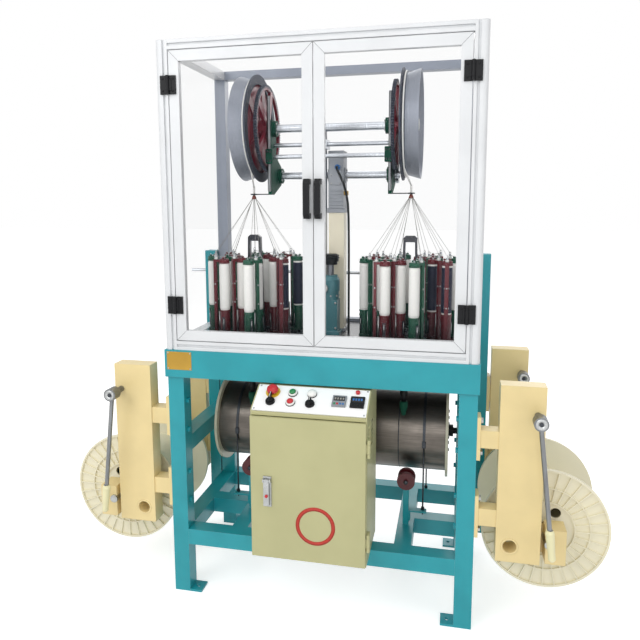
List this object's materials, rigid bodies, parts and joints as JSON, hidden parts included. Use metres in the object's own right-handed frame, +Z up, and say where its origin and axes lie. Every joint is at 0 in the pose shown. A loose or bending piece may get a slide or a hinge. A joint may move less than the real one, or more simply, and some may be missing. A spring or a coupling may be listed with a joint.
{
  "type": "cable braiding machine",
  "caption": "Twin-head maypole braider with geared thread carriers, capstan take-off, clear-door enclosure, control cabinet and side pay-off spools on tilting cradles.",
  "frame": {"origin": "on the floor, at the centre of the rectangle of the four foot anchor holes", "axes": "+X to the operator's right, +Y from the operator's side to the back, +Z up"},
  "size_m": [1.99, 0.7461, 2],
  "materials": {
    "teal_paint": "semi-gloss enamel",
    "black_bed": "oil-black, satin",
    "bare_steel": "satin",
    "carriers": "painted die casting with white thread bobbins",
    "motor_paint": "satin enamel",
    "cream_paint": "semi-gloss enamel",
    "gearbox_paint": "grey paint",
    "cable": "matte",
    "capstan_metal": "machined, red hubs",
    "green_paint": "semi-gloss enamel",
    "arch_paint": "satin",
    "thread": "twisted yarn",
    "white_profile": "powder coat",
    "clear_sheet": "clear",
    "olive_paint": "fine texture enamel",
    "panel_white": "satin",
    "red_plastic": "gloss",
    "green_plastic": "gloss",
    "black_plastic": "matte",
    "drum_cover": "satin",
    "roller_red": "satin",
    "spool_plastic": "satin"
  },
  "bodies": {
    "frame": {"legs": "teal_paint", "lower_rails": "teal_paint", "rear_uprights": "teal_paint", "apron": "teal_paint", "gear_deck": "bare_steel", "bed_plate": "black_bed", "motor": "motor_paint", "column": "cream_paint", "gearbox": "gearbox_paint", "gearbox_cable": "cable", "stand_post": "bare_steel", "capstan_brackets": "green_paint", "tie_bars": "bare_steel", "braid_guides": "bare_steel", "head_arches": "arch_paint", "strands": "thread", "enclosure_frame": "white_profile", "side_panes": "clear_sheet", "cabinet": "olive_paint", "control_panel": "panel_white", "stand_arms": "cream_paint", "bracket_bolts": "bare_steel"},
    "main_drive": {"drive_gear": "bare_steel", "hand_wheel": "black_plastic"},
    "left_horn_1": {"left_horn_1": "carriers"},
    "left_horn_2": {"left_horn_2": "carriers"},
    "left_horn_3": {"left_horn_3": "carriers"},
    "left_horn_4": {"left_horn_4": "carriers"},
    "left_horn_5": {"left_horn_5": "carriers"},
    "left_horn_6": {"left_horn_6": "carriers"},
    "left_horn_7": {"left_horn_7": "carriers"},
    "left_horn_8": {"left_horn_8": "carriers"},
    "right_horn_1": {"right_horn_1": "carriers"},
    "right_horn_2": {"right_horn_2": "carriers"},
    "right_horn_3": {"right_horn_3": "carriers"},
    "right_horn_4": {"right_horn_4": "carriers"},
    "right_horn_5": {"right_horn_5": "carriers"},
    "right_horn_6": {"right_horn_6": "carriers"},
    "right_horn_7": {"right_horn_7": "carriers"},
    "right_horn_8": {"right_horn_8": "carriers"},
    "slow_shaft": {"slow_shaft": "bare_steel"},
    "capstans": {"capstans": "capstan_metal"},
    "left_door": {"left_door": "white_profile"},
    "right_door": {"right_door": "white_profile"},
    "cabinet_door": {"cabinet_door": "olive_paint"},
    "cabinet_latch": {"cabinet_latch": "bare_steel"},
    "emergency_stop": {"emergency_stop": "red_plastic"},
    "start_button": {"start_button": "green_plastic"},
    "stop_button": {"stop_button": "red_plastic"},
    "power_switch": {"power_switch": "black_plastic"},
    "mode_switch": {"mode_switch": "black_plastic"},
    "takeup_drum": {"takeup_drum": "drum_cover"},
    "left_guide_roller": {"left_guide_roller": "roller_red"},
    "right_guide_roller": {"right_guide_roller": "roller_red"},
    "left_cradle": {"left_cradle": "cream_paint"},
    "right_cradle": {"right_cradle": "cream_paint"},
    "left_spool": {"left_spool": "spool_plastic"},
    "right_spool": {"right_spool": "spool_plastic"},
    "left_levers": {"left_levers": "bare_steel"},
    "right_levers": {"right_levers": "bare_steel"}
  },
  "joints": [
    {"name": "main_drive_turn", "type": "hinge", "parent": "frame", "child": "main_drive", "pos_m": [0, 0, 0.9], "axis": [0, 0, 1], "continuous": true, "deforming": ["strands"]},
    {"name": "left_horn_1_turn", "type": "hinge", "parent": "frame", "child": "left_horn_1", "pos_m": [-0.175, 0, 0.9], "axis": [0, 0, 1], "continuous": true},
    {"name": "left_horn_2_turn", "type": "hinge", "parent": "frame", "child": "left_horn_2", "pos_m": [-0.21135, 0.08777, 0.9], "axis": [0, 0, 1], "continuous": true},
    {"name": "left_horn_3_turn", "type": "hinge", "parent": "frame", "child": "left_horn_3", "pos_m": [-0.29912, 0.12412, 0.9], "axis": [0, 0, 1], "continuous": true},
    {"name": "left_horn_4_turn", "type": "hinge", "parent": "frame", "child": "left_horn_4", "pos_m": [-0.38689, 0.08777, 0.9], "axis": [0, 0, 1], "continuous": true},
    {"name": "left_horn_5_turn", "type": "hinge", "parent": "frame", "child": "left_horn_5", "pos_m": [-0.42325, 0, 0.9], "axis": [0, 0, 1], "continuous": true},
    {"name": "left_horn_6_turn", "type": "hinge", "parent": "frame", "child": "left_horn_6", "pos_m": [-0.38689, -0.08777, 0.9], "axis": [0, 0, 1], "continuous": true},
    {"name": "left_horn_7_turn", "type": "hinge", "parent": "frame", "child": "left_horn_7", "pos_m": [-0.29912, -0.12412, 0.9], "axis": [0, 0, 1], "continuous": true},
    {"name": "left_horn_8_turn", "type": "hinge", "parent": "frame", "child": "left_horn_8", "pos_m": [-0.21135, -0.08777, 0.9], "axis": [0, 0, 1], "continuous": true},
    {"name": "right_horn_1_turn", "type": "hinge", "parent": "frame", "child": "right_horn_1", "pos_m": [0.175, 0, 0.9], "axis": [0, 0, 1], "continuous": true},
    {"name": "right_horn_2_turn", "type": "hinge", "parent": "frame", "child": "right_horn_2", "pos_m": [0.21135, -0.08777, 0.9], "axis": [0, 0, 1], "continuous": true},
    {"name": "right_horn_3_turn", "type": "hinge", "parent": "frame", "child": "right_horn_3", "pos_m": [0.29912, -0.12412, 0.9], "axis": [0, 0, 1], "continuous": true},
    {"name": "right_horn_4_turn", "type": "hinge", "parent": "frame", "child": "right_horn_4", "pos_m": [0.38689, -0.08777, 0.9], "axis": [0, 0, 1], "continuous": true},
    {"name": "right_horn_5_turn", "type": "hinge", "parent": "frame", "child": "right_horn_5", "pos_m": [0.42325, 0, 0.9], "axis": [0, 0, 1], "continuous": true},
    {"name": "right_horn_6_turn", "type": "hinge", "parent": "frame", "child": "right_horn_6", "pos_m": [0.38689, 0.08777, 0.9], "axis": [0, 0, 1], "continuous": true},
    {"name": "right_horn_7_turn", "type": "hinge", "parent": "frame", "child": "right_horn_7", "pos_m": [0.29912, 0.12412, 0.9], "axis": [0, 0, 1], "continuous": true},
    {"name": "right_horn_8_turn", "type": "hinge", "parent": "frame", "child": "right_horn_8", "pos_m": [0.21135, 0.08777, 0.9], "axis": [0, 0, 1], "continuous": true},
    {"name": "slow_shaft_turn", "type": "hinge", "parent": "frame", "child": "slow_shaft", "pos_m": [0, 0.07465, 1.558], "axis": [1, 0, 0], "continuous": true},
    {"name": "capstan_turn", "type": "hinge", "parent": "frame", "child": "capstans", "pos_m": [0, 0, 1.73], "axis": [1, 0, 0], "continuous": true},
    {"name": "left_door_hinge", "type": "hinge", "parent": "frame", "child": "left_door", "pos_m": [-0.5005, -0.305, 1.467], "axis": [0, 0, -1], "range_deg": [0, 110]},
    {"name": "right_door_hinge", "type": "hinge", "parent": "frame", "child": "right_door", "pos_m": [0.5005, -0.305, 1.467], "axis": [0, 0, 1], "range_deg": [0, 110]},
    {"name": "cabinet_door_hinge", "type": "hinge", "parent": "frame", "child": "cabinet_door", "pos_m": [0.204, -0.406, 0.5], "axis": [0, 0, 1], "range_deg": [0, 110]},
    {"name": "cabinet_latch_hinge", "type": "hinge", "parent": "cabinet_door", "child": "cabinet_latch", "pos_m": [-0.137, -0.423, 0.534], "axis": [-1, 0, 0], "range_deg": [0, 70]},
    {"name": "emergency_stop_press", "type": "slide", "parent": "frame", "child": "emergency_stop", "axis": [0, 0.5017, -0.865], "range_m": [0, 0.004], "stiffness_N_per_m": 900},
    {"name": "start_button_press", "type": "slide", "parent": "frame", "child": "start_button", "axis": [0, 0.5017, -0.865], "range_m": [0, 0.004], "stiffness_N_per_m": 500},
    {"name": "stop_button_press", "type": "slide", "parent": "frame", "child": "stop_button", "axis": [0, 0.5017, -0.865], "range_m": [0, 0.004], "stiffness_N_per_m": 500},
    {"name": "power_switch_turn", "type": "hinge", "parent": "frame", "child": "power_switch", "pos_m": [-0.137, -0.366, 0.78972], "axis": [0, -0.5017, 0.865], "range_deg": [-45, 45]},
    {"name": "mode_switch_turn", "type": "hinge", "parent": "frame", "child": "mode_switch", "pos_m": [0, -0.366, 0.78972], "axis": [0, -0.5017, 0.865], "range_deg": [-45, 45]},
    {"name": "takeup_drum_turn", "type": "hinge", "parent": "frame", "child": "takeup_drum", "pos_m": [0, 0.09, 0.568], "axis": [1, 0, 0], "continuous": true},
    {"name": "left_guide_roller_turn", "type": "hinge", "parent": "frame", "child": "left_guide_roller", "pos_m": [-0.303, -0.072, 0.426], "axis": [0, 1, 0], "continuous": true},
    {"name": "left_cradle_pivot", "type": "hinge", "parent": "frame", "child": "left_cradle", "pos_m": [-0.66, 0, 0.32], "axis": [0, -1, 0], "range_deg": [0, 35]},
    {"name": "left_spool_turn", "type": "hinge", "parent": "left_cradle", "child": "left_spool", "pos_m": [-0.783, -0.03, 0.342], "axis": [0, 1, 0], "continuous": true},
    {"name": "left_levers_turn", "type": "hinge", "parent": "frame", "child": "left_levers", "pos_m": [-0.732, 0, 0.776], "axis": [0, -1, 0], "range_deg": [0, 35]},
    {"name": "right_guide_roller_turn", "type": "hinge", "parent": "frame", "child": "right_guide_roller", "pos_m": [0.303, -0.072, 0.426], "axis": [0, 1, 0], "continuous": true},
    {"name": "right_cradle_pivot", "type": "hinge", "parent": "frame", "child": "right_cradle", "pos_m": [0.66, 0, 0.32], "axis": [0, 1, 0], "range_deg": [0, 35]},
    {"name": "right_spool_turn", "type": "hinge", "parent": "right_cradle", "child": "right_spool", "pos_m": [0.783, -0.03, 0.342], "axis": [0, 1, 0], "continuous": true},
    {"name": "right_levers_turn", "type": "hinge", "parent": "frame", "child": "right_levers", "pos_m": [0.732, 0, 0.776], "axis": [0, 1, 0], "range_deg": [0, 35]}
  ],
  "couplings": [
    {"joint": "left_horn_1_turn", "follows": "main_drive_turn", "ratio": -2.6842},
    {"joint": "left_horn_2_turn", "follows": "main_drive_turn", "ratio": 2.6842},
    {"joint": "left_horn_3_turn", "follows": "main_drive_turn", "ratio": -2.6842},
    {"joint": "left_horn_4_turn", "follows": "main_drive_turn", "ratio": 2.6842},
    {"joint": "left_horn_5_turn", "follows": "main_drive_turn", "ratio": -2.6842},
    {"joint": "left_horn_6_turn", "follows": "main_drive_turn", "ratio": 2.6842},
    {"joint": "left_horn_7_turn", "follows": "main_drive_turn", "ratio": -2.6842},
    {"joint": "left_horn_8_turn", "follows": "main_drive_turn", "ratio": 2.6842},
    {"joint": "right_horn_1_turn", "follows": "main_drive_turn", "ratio": -2.6842},
    {"joint": "right_horn_2_turn", "follows": "main_drive_turn", "ratio": 2.6842},
    {"joint": "right_horn_3_turn", "follows": "main_drive_turn", "ratio": -2.6842},
    {"joint": "right_horn_4_turn", "follows": "main_drive_turn", "ratio": 2.6842},
    {"joint": "right_horn_5_turn", "follows": "main_drive_turn", "ratio": -2.6842},
    {"joint": "right_horn_6_turn", "follows": "main_drive_turn", "ratio": 2.6842},
    {"joint": "right_horn_7_turn", "follows": "main_drive_turn", "ratio": -2.6842},
    {"joint": "right_horn_8_turn", "follows": "main_drive_turn", "ratio": 2.6842},
    {"joint": "slow_shaft_turn", "follows": "main_drive_turn", "ratio": 0.105},
    {"joint": "capstan_turn", "follows": "main_drive_turn", "ratio": -0.02},
    {"joint": "left_levers_turn", "follows": "left_cradle_pivot", "ratio": 1},
    {"joint": "right_levers_turn", "follows": "right_cradle_pivot", "ratio": 1}
  ]
}
